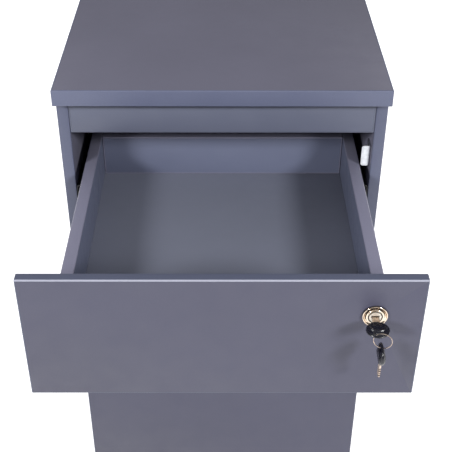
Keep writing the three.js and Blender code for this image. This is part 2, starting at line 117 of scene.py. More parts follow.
def material(name, color, roughness, metallic=0.0, spread=0.05, patch=6.0, grain=1500.0,
             bump=0.02 * MM, gloss_spread=0.06, stretch=None, coat=0.0):
    """A procedural finish: slow colour patches, finer speckle, uneven gloss and a fine raised grain."""
    made = bpy.data.materials.new(name)
    made.use_nodes = True
    tree = made.node_tree
    shader = tree.nodes["Principled BSDF"]
    shader.inputs["Metallic"].default_value = metallic
    shader.inputs["IOR"].default_value = IOR
    shader.inputs["Coat Weight"].default_value = coat
    shader.inputs["Coat Roughness"].default_value = COAT_ROUGHNESS
    coords = tree.nodes.new("ShaderNodeTexCoord")

    patches = noise(tree, coords, patch, PATCH_DETAIL)
    speckle = noise(tree, coords, grain * SPECKLE_PER_GRAIN, SPECKLE_DETAIL, stretch)
    both = tree.nodes.new("ShaderNodeMix")
    both.inputs["Factor"].default_value = SPECKLE_SHARE
    tree.links.new(patches.outputs["Fac"], both.inputs["A"])
    tree.links.new(speckle.outputs["Fac"], both.inputs["B"])
    ramp = tree.nodes.new("ShaderNodeValToRGB")
    for element, stop, share in zip(ramp.color_ramp.elements, RAMP_STOPS, (1 - spread, 1 + spread)):
        element.position = stop
        element.color = (*(min(1.0, c * share) for c in color), 1)
    tree.links.new(both.outputs["Result"], ramp.inputs["Fac"])
    tree.links.new(ramp.outputs["Color"], shader.inputs["Base Color"])

    smears = noise(tree, coords, patch * SMEARS_PER_PATCH, SMEAR_DETAIL, stretch)
    gloss = ranged(tree, smears.outputs["Fac"], roughness - gloss_spread, roughness + gloss_spread)
    tree.links.new(gloss.outputs["Result"], shader.inputs["Roughness"])

    raised = noise(tree, coords, grain, RELIEF_DETAIL, stretch)
    relief = tree.nodes.new("ShaderNodeBump")
    relief.inputs["Strength"].default_value = 1.0
    relief.inputs["Distance"].default_value = bump
    tree.links.new(raised.outputs["Fac"], relief.inputs["Height"])
    tree.links.new(relief.outputs["Normal"], shader.inputs["Normal"])
    return made


LAMINATE = material("laminate_face", (0.129, 0.127, 0.173), 0.46, bump=0.035 * MM)
# Painted shade: the drawer fronts take a much darker copy of the same laminate
LAMINATE_FRONT_SHADED = material("laminate_front_painted_shade", (0.070, 0.070, 0.109), 0.46, bump=0.035 * MM)
# Painted shade: the drawer box takes a slightly darker, bluer copy of the same laminate, toned to the light
# inside the drawer
LAMINATE_BOX_SHADED = material("laminate_box_painted_shade", (0.112, 0.125, 0.188), 0.46, bump=0.035 * MM)
# Painted shade: the rail under the top's overhang takes a darker copy of the same laminate
LAMINATE_RAIL_SHADED = material("laminate_rail_painted_shade", (0.104, 0.114, 0.163), 0.46, bump=0.035 * MM)
# Painted light: the drawer floors take a lighter copy of the same laminate
LAMINATE_FLOOR_LIT = material("laminate_drawer_floor", (0.150, 0.160, 0.208), 0.46, bump=0.035 * MM)
BAND_CARCASS = material("laminate_edge_band", (0.097, 0.107, 0.166), 0.42, grain=700, bump=0.02 * MM)
# Painted light: the top's edges take a lighter copy of the carcass's edge band
BAND_TOP_LIT = material("top_edge_band_painted_light", (0.115, 0.128, 0.200), 0.42, grain=700, bump=0.02 * MM)
BAND_FRONT = material("front_edge_band", (0.079, 0.089, 0.140), 0.40, grain=700, bump=0.02 * MM)
BAND_BOX = material("box_edge_band", (0.190, 0.188, 0.260), 0.45, grain=700, bump=0.02 * MM)
# Painted highlight: a brighter colour on the top front arris of each drawer front, standing for the lamps'
# sheen there
ARRIS_HIGHLIGHT = material("painted_arris_highlight", (0.36, 0.37, 0.45), 0.22, grain=700, bump=0.01 * MM)
GLUE = material("glue_line", (0.035, 0.035, 0.045), 0.7, grain=3000, bump=0.01 * MM)
SLIDE = material("black_coated_steel", (0.012, 0.012, 0.014), 0.34, coat=0.3, spread=0.2, patch=30,
                 grain=900, bump=0.015 * MM)
CAGE = material("slide_cage_steel", (0.10, 0.10, 0.105), 0.38, 0.9, spread=0.12, patch=60)
BALL = material("slide_ball_steel", (0.62, 0.62, 0.64), 0.14, 1.0, spread=0.08, patch=120, gloss_spread=0.04)
ZINC = material("bright_zinc", (0.60, 0.62, 0.66), 0.36, 1.0, spread=0.12, patch=90, grain=500,
                bump=0.03 * MM, gloss_spread=0.10)
NICKEL = material("nickel_plate", (0.70, 0.60, 0.49), 0.22, 1.0, spread=0.06, patch=160, grain=1800,
                  bump=0.002 * MM, gloss_spread=0.05)
SATIN = material("satin_nickel", (0.72, 0.66, 0.58), 0.5, 0.55, spread=0.08, patch=260, grain=2400,
                 bump=0.003 * MM)
# Painted shade: a near-black metal colour for the lock's recesses and grooves, and a painted dark reflection
# on the escutcheon's outer flank
RECESS_SHADE = material("painted_recess_shade", (0.028, 0.022, 0.02), 0.5, 0.4, spread=0.3, patch=260, grain=1800)
CHROME = material("polished_nickel", (0.72, 0.60, 0.48), 0.12, 1.0, spread=0.05, patch=160, grain=1500,
                  bump=0.001 * MM, gloss_spread=0.03)
WIRE = material("spring_wire", (0.38, 0.31, 0.26), 0.16, 1.0, spread=0.22, patch=220, grain=1500,
                bump=0.002 * MM)
BLADE = material("milled_nickel_silver", (0.56, 0.46, 0.38), 0.34, 1.0, spread=0.2, patch=220,
                 grain=900, bump=0.012 * MM, stretch=(1, 0.12, 1))
# Painted shade: a dark copy of the blade's metal for the faces in the bitting cuts
BLADE_CUT_SHADE = material("nickel_silver_painted_shade", (0.22, 0.17, 0.14), 0.4, 1.0, spread=0.2, patch=300, grain=900)
BOW = material("black_moulded_plastic", (0.005, 0.005, 0.011), 0.26, spread=0.25, patch=90, grain=2600,
               bump=0.002 * MM)
FOOT = material("dark_nylon", (0.016, 0.016, 0.018), 0.5, spread=0.2, patch=60, grain=1200)
FLOOR = material("pale_floor", (0.86, 0.86, 0.87), 0.6, spread=0.01, patch=1.5, grain=60, bump=0.02 * MM)
FLOOR.node_tree.nodes["Principled BSDF"].inputs["Emission Color"].default_value = (1, 1, 1, 1)
FLOOR.node_tree.nodes["Principled BSDF"].inputs["Emission Strength"].default_value = FLOOR_GLOW


# ------------------------------------------------------------- mesh helpers

def arc(x, y, radius, start, end, steps=ARC_STEPS):
    """Points on an arc, both ends included, angles in degrees."""
    turns = (start + (end - start) * i / steps for i in range(steps + 1))
    return [(x + radius * math.cos(math.radians(t)), y + radius * math.sin(math.radians(t))) for t in turns]


def rounded_rectangle(width, height, radius, steps=ARC_STEPS):
    across, up = width / 2 - radius, height / 2 - radius
    corners = ((across, up, 0), (-across, up, 90), (-across, -up, 180), (across, -up, 270))
    return [p for x, y, turn in corners for p in arc(x, y, radius, turn, turn + 90, steps)]


def ellipse(half_width, half_height, middle=0.0, steps=56):
    turns = (2 * math.pi * i / steps for i in range(steps))
    return [(half_width * math.cos(t), middle + half_height * math.sin(t)) for t in turns]


def bend_points(before, corner, after, radius, steps):
    """Points round the arc that replaces a corner between two others."""
    corner = Vector(corner)
    back, ahead = (Vector(before) - corner).normalized(), (Vector(after) - corner).normalized()
    half = back.angle(ahead) / 2
    centre = corner + (back + ahead).normalized() * radius / math.sin(half)
    reach = radius / math.tan(half)
    first, last = corner + back * reach - centre, corner + ahead * reach - centre
    start = math.atan2(first.y, first.x)
    turn = (math.atan2(last.y, last.x) - start + math.pi) % (2 * math.pi) - math.pi
    angles = (start + turn * k / steps for k in range(steps + 1))
    return [centre + radius * Vector((math.cos(t), math.sin(t))) for t in angles]


def filleted(points, radii, steps=3):
    """A closed outline with its corners rounded by the matching radii."""
    done = []
    for i, (point, radius) in enumerate(zip(points, radii)):
        if radius <= 0:
            done.append(tuple(point))
        else:
            after = points[(i + 1) % len(points)]
            done += [tuple(p) for p in bend_points(points[i - 1], point, after, radius, steps)]
    return done


def strip(path, thickness, bend, steps=4):
    """Outline of bent sheet metal that follows an open path along its middle."""
    middle = [Vector(path[0])]
    for before, corner, after in zip(path, path[1:], path[2:]):
        middle += bend_points(before, corner, after, bend, steps)
    middle.append(Vector(path[-1]))
    sides = ([], [])
    for i, point in enumerate(middle):
        along = (middle[min(i + 1, len(middle) - 1)] - middle[max(i - 1, 0)]).normalized()
        across = Vector((-along.y, along.x)) * thickness / 2
        sides[0].append(tuple(point + across))
        sides[1].append(tuple(point - across))
    return sides[0] + sides[1][::-1]


def inset(points, distance):
    """A closed outline moved inwards by a small distance."""
    area = sum(a[0] * b[1] - b[0] * a[1] for a, b in zip(points, points[1:] + points[:1]))
    turn = 1 if area > 0 else -1
    shifted = []
    for i, point in enumerate(points):
        before, here, after = (Vector(p) for p in (points[i - 1], point, points[(i + 1) % len(points)]))
        first, second = here - before, after - here
        normals = [Vector((-d.y, d.x)).normalized() * turn for d in (first, second) if d.length > 1e-9]
        total = sum(normals, Vector((0, 0)))
        share = len(normals) / max(0.5, total.length_squared / len(normals))
        shifted.append(tuple(here + total / len(normals) * distance * share))
    return shifted


def loft(bm, rings, ring_closed=False, material_of=None):
    """Skins rings of points. With ring_closed the last ring meets the first, else both ends are capped."""
    layers = [[bm.verts.new(p) for p in ring] for ring in rings]
    spans = list(zip(layers, layers[1:] + layers[:1] if ring_closed else layers[1:]))
    for i, (low, high) in enumerate(spans):
        for k in range(len(low)):
            face = bm.faces.new((low[k - 1], low[k], high[k], high[k - 1]))
            face.material_index = material_of(i) if material_of else 0
    if not ring_closed:
        bm.faces.new(layers[0][::-1])
        bm.faces.new(layers[-1])
    return bm


def turned(bm, profile, place, segments=64, closed=False):
    """Revolves [radius, outwards] points about the local Y axis, outwards being -Y."""
    rings = []
    for radius, outwards in profile:
        turns = (2 * math.pi * i / segments for i in range(segments))
        rings.append([place @ Vector((radius * math.cos(t), -outwards, radius * math.sin(t))) for t in turns])
    return loft(bm, rings, ring_closed=closed)


def swept(bm, stations, axis, material_of=None):
    """Skins outlines of (u, v) points, each at its place along the axis."""
    rings = []
    for place, outline in stations:
        ring = []
        for u, v in outline:
            point = [u, v]
            point.insert(axis, place)
            ring.append(Vector(point))
        rings.append(ring)
    return loft(bm, rings, material_of=material_of)


def moved(bm, matrix):
    bmesh.ops.transform(bm, matrix=matrix, verts=bm.verts)
    return bm


def piece_from(name, bm):
    bmesh.ops.remove_doubles(bm, verts=bm.verts, dist=MERGE_DISTANCE)
    bmesh.ops.recalc_face_normals(bm, faces=bm.faces)
    mesh = bpy.data.meshes.new(name)
    bm.to_mesh(mesh)
    bm.free()
    piece = bpy.data.objects.new(name, mesh)
    bpy.context.scene.collection.objects.link(piece)
    return piece


def carve(piece, cutters):
    """Cuts closed meshes out of a piece for good."""
    tools = [piece_from(f"{piece.name}_cutter", cutter) for cutter in cutters]
    for tool in tools:
        cut = piece.modifiers.new("cut", "BOOLEAN")
        cut.operation = "DIFFERENCE"
        cut.solver = "EXACT"
        cut.object = tool
    graph = bpy.context.evaluated_depsgraph_get()
    result = bpy.data.meshes.new_from_object(piece.evaluated_get(graph))
    piece.modifiers.clear()
    piece.data = result
    for tool in tools:
        bpy.data.objects.remove(tool)


def make(name, bm, materials, node=None, body=None, cutters=(), sharp=32):
    """Finishes a piece: carves it, shades it, rides it on its body and lets it stand for its CAD node."""
    piece = piece_from(name, bm)
    for finish in materials:
        piece.data.materials.append(finish)
    if cutters:
        carve(piece, cutters)
    piece.data.polygons.foreach_set("use_smooth", [True] * len(piece.data.polygons))
    piece.data.set_sharp_from_angle(angle=math.radians(sharp))
    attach(piece, body or BODY_OF[node])
    if node:
        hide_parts(node)


def middle_of(node):
    low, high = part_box(node)
    return (low + high) / 2


# ------------------------------------------------------------------- boards

# The places of a board's band, glue line and painted arris highlight in its list of materials, after its face
EDGE, SEAM, PAINTED_HIGHLIGHT = 1, 2, 3


def board_profile(half, arris):
    """(inset, height) steps round a board's edge, from one face's cap to the other's."""
    seam = [(BAND + SEAM_WIDTH, half), (BAND + SEAM_WIDTH / 2, half - SEAM_DEPTH), (BAND, half)]
    corner = [(arris - a, half - arris + h) for a, h in arc(0, 0, arris, 90, 0)]
    upper = seam + corner
    return upper + [(i, -h) for i, h in reversed(upper)]


def board(node, band=BAND_CARCASS, face=LAMINATE, cutters=(), arris=ARRIS):
    """An edge-banded board: laminated faces, a band with rounded arrises, a fine glue line round each face.

    A drawer front also gets a painted highlight: a brighter colour on the arris along the top of its outer
    face.
    """
    low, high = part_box(node)
    size = high - low
    thin = min((X, Y, Z), key=lambda axis: size[axis])
    u, v = (axis for axis in (X, Y, Z) if axis != thin)
    centre = (low + high) / 2
    profile = board_profile(size[thin] / 2, arris)
    stations = []
    for edge, height in profile:
        corner = max(BOARD_CORNER - edge, LEAST_CORNER)
        outline = rounded_rectangle(size[u] - 2 * edge, size[v] - 2 * edge, corner)
        stations.append((centre[thin] + height, [(centre[u] + a, centre[v] + b) for a, b in outline]))
    last = len(profile) - 2
    bm = swept(bmesh.new(), stations, thin, lambda i: SEAM if i in (0, 1, last, last - 1) else EDGE)
    # The top arris of a drawer front's outer face gets the painted highlight
    if face is LAMINATE_FRONT_SHADED:
        for part in bm.faces:
            place = part.calc_center_median()
            if place.z > high.z - arris and place.y < low.y + arris:
                part.material_index = PAINTED_HIGHLIGHT
    make(f"{node}_board", bm, (face, band, GLUE, ARRIS_HIGHLIGHT), node, cutters=cutters)


def drawer_wall(node, side):
    """A drawer side with a groove for the floor, its top arrises rounded."""
    low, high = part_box(node)
    floor_low, floor_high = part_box(node.replace("left_wall", "floor").replace("right_wall", "floor"))
    inner, outer = (low.x, high.x) if side > 0 else (high.x, low.x)
    groove = (floor_high.x if side > 0 else floor_low.x) + side * GAP
    corners = [(outer, low.z), (outer, high.z), (inner, high.z), (inner, floor_high.z + GAP),
               (groove, floor_high.z + GAP), (groove, floor_low.z - GAP), (inner, floor_low.z - GAP),
               (inner, low.z)]
    radii = [ARRIS, ARRIS, ARRIS, GROOVE_EDGE, 0, 0, GROOVE_EDGE, ARRIS]
    section = filleted(corners, radii, ARC_STEPS)
    ends = [(0, ARRIS * 0.6), (ARRIS * 0.2, ARRIS * 0.2), (ARRIS * 0.6, 0)]
    stations = [(low.y + y, inset(section, d)) for y, d in ends]
    stations += [(high.y - y, inset(section, d)) for y, d in reversed(ends)]
    bm = swept(bmesh.new(), stations, Y)
    for face in bm.faces:
        places = [vert.co for vert in face.verts]
        on_top = min(p.z for p in places) > high.z - ARRIS - NEAR
        on_front = max(p.y for p in places) < low.y + ARRIS
        on_back = min(p.y for p in places) > high.y - ARRIS
        if on_top or on_front or on_back:
            face.material_index = EDGE
    make(f"{node}_board", bm, (LAMINATE_BOX_SHADED, BAND_BOX), node)


board("top_panel", BAND_TOP_LIT)
for panel in ("left_side_panel", "right_side_panel", "back_panel", "bottom_panel"):
    board(panel)
# The rail's faces and edges take the darker copy of the laminate, painted shade
board("top_front_rail", LAMINATE_RAIL_SHADED, LAMINATE_RAIL_SHADED)

lock_middle = middle_of("escutcheon_ring")
front_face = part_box("top_drawer_front")[0].y
lock_place = Matrix.Translation((lock_middle.x, front_face, lock_middle.z))

# Lock sizes in millimetres. Distances outwards are from the top drawer's front face
BARREL = 8.6
BORE = 7.1
HEAD, HEAD_OUT = 9.6, 3.0
PLUG, PLUG_OUT = 6.8, 3.2
BARREL_BACK, PLUG_BACK = -23.7, -24.0
CLEAR_OF_BARREL = BARREL + GAP / MM
FRONT_HOLE_SPAN = (-20, 5)

for drawer in DRAWERS:
    hole = []
    if drawer == "top_drawer":
        sides = [(CLEAR_OF_BARREL * MM, out * MM) for out in FRONT_HOLE_SPAN]
        hole = [turned(bmesh.new(), sides, lock_place)]
    board(f"{drawer}_front", BAND_FRONT, LAMINATE_FRONT_SHADED, hole, FRONT_ARRIS)
    board(f"{drawer}_back_wall", BAND_BOX, LAMINATE_BOX_SHADED)
    board(f"{drawer}_floor", LAMINATE_FLOOR_LIT, LAMINATE_FLOOR_LIT)
    for side_name, side in SIDES:
        drawer_wall(f"{drawer}_{side_name}_wall", side)


# ------------------------------------------------------------------- slides

STEEL = 1.2 * MM
MEMBER_ARRIS = 0.25 * MM
# Each member's web and open edge out from the drawer wall, its half height, lip and bend, in millimetres
MEMBERS = {
    "cabinet_member": (12.1, 3.6, 22.5, 4.2, 2.0),
    "intermediate_member": (8.9, 2.4, 17.4, 3.2, 1.6),
    "drawer_member": (0.0, 6.4, 13.0, 3.0, 1.3),
}
# Where the web's slots and round holes are, as shares of its length, and their width and height
SLOTS = (0.09, 0.34, 0.62, 0.90)
ROUND_HOLES = (0.16, 0.46, 0.78)
SLOT_SIZE = (9 * MM, 4.4 * MM)
ROUND_SIZE = (5.5 * MM, 5.4 * MM)
HOLE_STEPS = 6
STRAIGHT = 0.02 * MM
PUNCH = 2 * MM

# Ball cages. A retainer's web, and its balls' places out from the wall and off the middle, in millimetres
CAGE_RUN, CAGE_INSET = 180 * MM, 8 * MM
CAGE_STEEL, CAGE_BEND = 0.5, 0.7
BALLS_IN_ROW = 12
REAR_CAGE = {"web": 9.9, "ball_out": 7.0, "ball_up": 19.35, "ball_radius": 1.85}
FRONT_CAGE = {"web": 7.05, "ball_out": 4.5, "ball_up": 14.6, "ball_radius": 1.5}


def member(node, kind, side, wall):
    """A rolled channel with curved ball races, fixing slots and round holes in its web."""
    web, reach, half, lip, bend = (value * MM for value in MEMBERS[kind])
    low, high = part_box(node)
    centre = (low + high) / 2
    inwards = STEEL / 2 if reach > web else -STEEL / 2
    back, open_edge, edge = web + inwards, reach - inwards, half - STEEL / 2
    path = [(open_edge, half - lip), (open_edge, edge), (back, edge), (back, -edge), (open_edge, -edge),
            (open_edge, lip - half)]
    outline = [(wall + side * out, centre.z + z) for out, z in strip(path, STEEL, bend)]
    ends = [(0, MEMBER_ARRIS), (MEMBER_ARRIS, 0)]
    stations = [(low.y + y, inset(outline, d)) for y, d in ends]
    stations += [(high.y - y, inset(outline, d)) for y, d in reversed(ends)]
    bm = swept(bmesh.new(), stations, Y)

    across = (wall + side * (back - PUNCH), wall + side * (back + PUNCH))
    cutters = bmesh.new()
    for share in SLOTS + ROUND_HOLES:
        width, height = SLOT_SIZE if share in SLOTS else ROUND_SIZE
        hole = rounded_rectangle(width, height, height / 2 - STRAIGHT, HOLE_STEPS)
        place = low.y + share * (high.y - low.y)
        swept(cutters, [(x, [(place + a, centre.z + b) for a, b in hole]) for x in across], X)
    make(f"{node}_channel", bm, (SLIDE,), node, cutters=[cutters])


def ball_cage(name, body, side, wall, z, y_range, web, ball_out, ball_up, ball_radius):
    """A retainer strip with a row of steel balls along each of its bent edges."""
    path = [(ball_out, ball_up), (web, ball_up), (web, -ball_up), (ball_out, -ball_up)]
    outline = [(wall + side * out * MM, z + up * MM) for out, up in strip(path, CAGE_STEEL, CAGE_BEND)]
    bm = swept(bmesh.new(), [(y, outline) for y in y_range], Y)
    balls = bmesh.new()
    for row in (-1, 1):
        for i in range(BALLS_IN_ROW):
            y = y_range[0] + (i + 0.5) * (y_range[1] - y_range[0]) / BALLS_IN_ROW
            place = Matrix.Translation((wall + side * ball_out * MM, y, z + row * ball_up * MM))
            bmesh.ops.create_icosphere(balls, subdivisions=2, radius=ball_radius * MM, matrix=place)
    make(f"{name}_strip", bm, (CAGE,), body=body)
    make(f"{name}_balls", balls, (BALL,), body=body, sharp=80)


for drawer in DRAWERS:
    for side_name, side in SIDES:
        slide = f"{drawer}_{side_name}"
        box_low, box_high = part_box(f"{slide}_wall")
        wall = (box_high.x if side > 0 else box_low.x) + side * GAP
        for kind in MEMBERS:
            member(f"{slide}_{kind}", kind, side, wall)
        low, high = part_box(f"{slide}_intermediate_member")
        z = (low.z + high.z) / 2
        body = BODY_OF[f"{slide}_intermediate_member"]
        back_end, front_end = high.y - CAGE_INSET, low.y + CAGE_INSET
        ball_cage(f"{slide}_rear_cage", body, side, wall, z, (back_end - CAGE_RUN, back_end), **REAR_CAGE)
        ball_cage(f"{slide}_front_cage", body, side, wall, z, (front_end, front_end + CAGE_RUN), **FRONT_CAGE)


# --------------------------------------------------------------------- lock

# The place of the painted shade in a lock or key piece's list of materials
PAINTED_SHADE = 1


def mm_profile(points):
    return [(radius * MM, outwards * MM) for radius, outwards in points]


def lock_piece(node, name, profile, finish, closed=True, cutters=(), segments=72,
               shaded=()):
    """A turned piece of the lock, all sizes in millimetres.

    Each of `shaded` is a least and greatest radius and a least distance outwards. Faces there get painted
    shade.
    """
    bm = turned(bmesh.new(), mm_profile(profile), lock_place, segments, closed)
    to_lock = lock_place.inverted()
    for face in bm.faces:
        middle = to_lock @ face.calc_center_median()
        radius, outwards = math.hypot(middle.x, middle.z) / MM, -middle.y / MM
        if any(least < radius < greatest and outwards > out for least, greatest, out in shaded):
            face.material_index = PAINTED_SHADE
    make(name, bm, (finish, RECESS_SHADE), node, cutters=cutters)


def box_cutter(x_range, y_range, z_range):
    bm = bmesh.new()
    outline = [(x_range[i], y_range[k]) for i, k in ((0, 0), (1, 0), (1, 1), (0, 1))]
    return swept(bm, [(z, outline) for z in z_range], Z)


def arc_at(radius, outwards, round_by, start, end, steps):
    """Profile points on an arc about (radius, outwards)."""
    return [(radius + a, outwards + h) for a, h in arc(0, 0, round_by, start, end, steps)]


# The escutcheon: a rounded rim, with a dish that slopes down from it to a flat seat round the barrel
bead_low, bead_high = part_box("escutcheon_ring")
RIM = (bead_high.x - bead_low.x) / 2 / MM
bead = [(CLEAR_OF_BARREL, 0.3), (RIM - 0.3, 0.3), (RIM - 0.05, 0.5), (RIM, 0.9), (RIM, 1.5),
        (RIM - 0.05, 1.8)]
bead += arc_at(RIM - 0.75, 2.0, 0.65, 10, 150, 7)
bead += [(RIM - 1.5, 2.05), (RIM - 1.9, 1.65), (RIM - 2.4, 1.3), (RIM - 2.9, 1.05), (9.9, 0.95),
         (9.0, 0.95), (CLEAR_OF_BARREL, 0.85)]
# The escutcheon's seat round the barrel gets painted shade, and its rim's outer flank a painted dark
# reflection
bead_seat, bead_flank = (9.0, 10.5, 0.9), (RIM - 0.1, RIM + 0.1, 0)
lock_piece("escutcheon_ring", "escutcheon_bead", bead, CHROME, segments=96, shaded=(bead_seat, bead_flank))

# The barrel: threaded behind the drawer front, with a rounded head in front of the escutcheon's seat
THREAD_ROOT, THREAD_START, THREAD_LENGTH, THREAD_PITCH = 8.25, -23.2, 9.8, 0.9
barrel = [(BORE, BARREL_BACK), (7.9, BARREL_BACK), (8.3, BARREL_BACK + 0.3)]
for i in range(int(THREAD_LENGTH / THREAD_PITCH)):
    root = THREAD_START + i * THREAD_PITCH
    barrel += [(THREAD_ROOT, root), (BARREL, root + 0.3), (BARREL, root + 0.5), (THREAD_ROOT, root + 0.8)]
barrel += [(BARREL, -13.0), (BARREL, 1.2), (9.3, 1.2), (HEAD, 1.45), (HEAD, 2.4)]
barrel += arc_at(HEAD - 0.5, HEAD_OUT - 0.5, 0.5, 0, 90, 4)
barrel += [(8.7, HEAD_OUT), (8.1, HEAD_OUT), (7.6, HEAD_OUT), (7.3, 2.85), (BORE, 2.4)]
# The chamfer inside the barrel's head gets painted shade
lock_piece("lock_cylinder", "lock_barrel", barrel, NICKEL, shaded=[(7.0, 7.55, 1.5)])

# The plug: a rounded face, and a keyway with more room above the blade than below it
plug = [(AXIS, PLUG_BACK), (6.5, PLUG_BACK), (PLUG, PLUG_BACK + 0.3), (PLUG, 2.6)]
plug += arc_at(PLUG - 0.5, PLUG_OUT - 0.5, 0.5, 0, 90, 4)
plug += [(6.0, PLUG_OUT), (3.0, PLUG_OUT), (AXIS, PLUG_OUT)]
KEYWAY_SPANS = (-4.3 * MM, 4.3 * MM), (-5 * MM, 16 * MM), (-1.3 * MM, 2.0 * MM)
keyway = moved(box_cutter(*KEYWAY_SPANS), lock_place)
# The rounded edge of the plug's face, where it meets the barrel, gets painted shade
lock_piece("lock_plug", "lock_plug_face", plug, SATIN, False, [keyway], shaded=[(6.55, 6.9, 1.5)])

TAIL_SPAN, TAIL_WIDTH, TAIL_CORNER, TAIL_STEPS = (24.25, 26.2), 7 * MM, 0.6 * MM, 3
tail_outline = rounded_rectangle(TAIL_WIDTH, TAIL_WIDTH, TAIL_CORNER, TAIL_STEPS)
tail = swept(bmesh.new(), [(y * MM, tail_outline) for y in TAIL_SPAN], Y)
make("lock_tail", moved(tail, lock_place), (ZINC,), body="plug")

HEX_STEPS = 8
NUT_FRONT, NUT_BACK, NUT_FLATS = 12.3, 16.3, 24.0
NUT_CHAMFER, NUT_CHAMFER_DEPTH, NUT_BORE_CHAMFER = 1.5, 0.7, 0.5


def hexagon(flats, round_by=0.0):
    """Points round a hexagon, evenly along each side, cut back at the corners to a circle."""
    corner = flats / math.sqrt(3)
    points = []
    for side in range(6):
        start, end = (Vector((math.cos(t), math.sin(t))) * corner
                      for t in (math.radians(60 * side), math.radians(60 * side + 60)))
        for k in range(HEX_STEPS):
            point = start.lerp(end, k / HEX_STEPS)
            limit = corner - round_by
            points.append(point if point.length < limit else point.normalized() * limit)
    return points


def nut():
    """A hexagon nut with chamfered corners and a bore that clears the barrel."""
    front, back, bore, ease = NUT_FRONT, NUT_BACK, CLEAR_OF_BARREL, NUT_BORE_CHAMFER
    count = 6 * HEX_STEPS
    full, trimmed = hexagon(NUT_FLATS), hexagon(NUT_FLATS, NUT_CHAMFER)
    rings = []
    for y, outline in ((front, trimmed), (front + NUT_CHAMFER_DEPTH, full), (back - NUT_CHAMFER_DEPTH, full),
                       (back, trimmed)):
        rings.append([Vector((p.x, y, p.y)) for p in outline])
    for y, radius in ((back, bore + ease), (back - ease, bore), (front + ease, bore), (front, bore + ease)):
        turns = (math.radians(360 * i / count) for i in range(count))
        rings.append([Vector((radius * math.cos(t), y, radius * math.sin(t))) for t in turns])
    bm = loft(bmesh.new(), rings, ring_closed=True)
    return moved(bm, lock_place @ Matrix.Scale(MM, 4))


make("lock_ring_nut", nut(), (ZINC,), "lock_nut")

CAM_FRONT, CAM_BACK, CAM_ARRIS = 24.3, 26.3, 0.25
CAM_HUB, CAM_HALF_WIDTH, CAM_REACH, CAM_CORNER = 9, 7, 33, 3
CAM_HOLE, CAM_HOLE_CORNER, CAM_HOLE_SPAN = 7.6 * MM, 0.6 * MM, (20, 30)


def cam():
    """A stamped cam that points up. Its square hole for the plug's tail is cut afterwards."""
    across, up = CAM_HALF_WIDTH - CAM_CORNER, CAM_REACH - CAM_CORNER
    outline = arc(0, 0, CAM_HUB, 180, 360, 14) + [(CAM_HALF_WIDTH, CAM_HUB)]
    outline += arc(across, up, CAM_CORNER, 0, 90) + arc(-across, up, CAM_CORNER, 90, 180)
    outline += [(-CAM_HALF_WIDTH, CAM_HUB)]
    front, back, ease = CAM_FRONT, CAM_BACK, CAM_ARRIS
    stations = [(front, ease), (front + ease, 0), (back - ease, 0), (back, ease)]
    bm = swept(bmesh.new(), [(y, inset(outline, d)) for y, d in stations], Y)
    return moved(bm, lock_place @ Matrix.Scale(MM, 4))


square = rounded_rectangle(CAM_HOLE, CAM_HOLE, CAM_HOLE_CORNER, TAIL_STEPS)
cam_hole = moved(swept(bmesh.new(), [(y * MM, square) for y in CAM_HOLE_SPAN], Y), lock_place)
make("lock_cam_arm", cam(), (ZINC,), "lock_cam", cutters=[cam_hole])

# A driver recess's arms: length and width as shares of the recess's reach, and corner radius, top and bottom
RECESS_TOP, RECESS_BOTTOM = (2.0, 0.56, 0.1 * MM), (0.7, 0.4, 0.05 * MM)
RECESS_ABOVE = 0.5 * MM
CAM_RECESS, STRIKE_RECESS = (1.5 * MM, 2.4 * MM), (1.3 * MM, 1.6 * MM)


def recess(depth, reach, place):
    """Two crossed arms of a driver recess, sinking along local +Y from the origin."""
    arms = []
    wide, narrow = (rounded_rectangle(length * reach, width * reach, corner, 2)
                    for length, width, corner in (RECESS_TOP, RECESS_BOTTOM))
    for turn in (0, 90):
        arm = swept(bmesh.new(), [(-RECESS_ABOVE, wide), (0, wide), (depth, narrow)], Y)
        arms.append(moved(arm, place @ Matrix.Rotation(math.radians(turn), 4, "Y")))
    return arms


# The cam screw's head bears on the back of the cam, and its shank runs on through the tail into the plug
CAM_SEAT = -26.6
CAM_SCREW = [(AXIS, -2.4), (2.0, -2.35), (3.6, -2.0), (4.8, -1.3), (5.4, -0.5), (5.5, -0.2), (5.4, 0),
             (1.7, 0), (1.7, 5), (AXIS, 5)]
head_out = CAM_SEAT + CAM_SCREW[0][1]
head_place = lock_place @ Matrix.Translation((0, -head_out * MM, 0)) @ Matrix.Rotation(math.pi, 4, "Z")
screw = [(radius, CAM_SEAT + out) for radius, out in CAM_SCREW]
lock_piece("cam_screw", "cam_screw_head", screw, ZINC, False, recess(*CAM_RECESS, head_place),
           40)


# ------------------------------------------------------------- strike plate

STRIKE_STEEL, STRIKE_CORNER, STRIKE_BEND, STRIKE_STEPS = 1.5 * MM, 3 * MM, 1.2 * MM, 5
STRIKE_HOLE = [(1.8, -8), (1.8, 8)]
PAN_HEAD = [(AXIS, 0), (1.2, -0.05), (2.2, -0.3), (2.9, -0.8), (3.2, -1.4), (3.2, -1.9), (1.5, -1.9)]
SHANK, SHANK_ROOT, SHANK_PITCH, SHANK_START, SHANK_POINT = 1.5, 1.1, 1.0, -3.7, 1.6


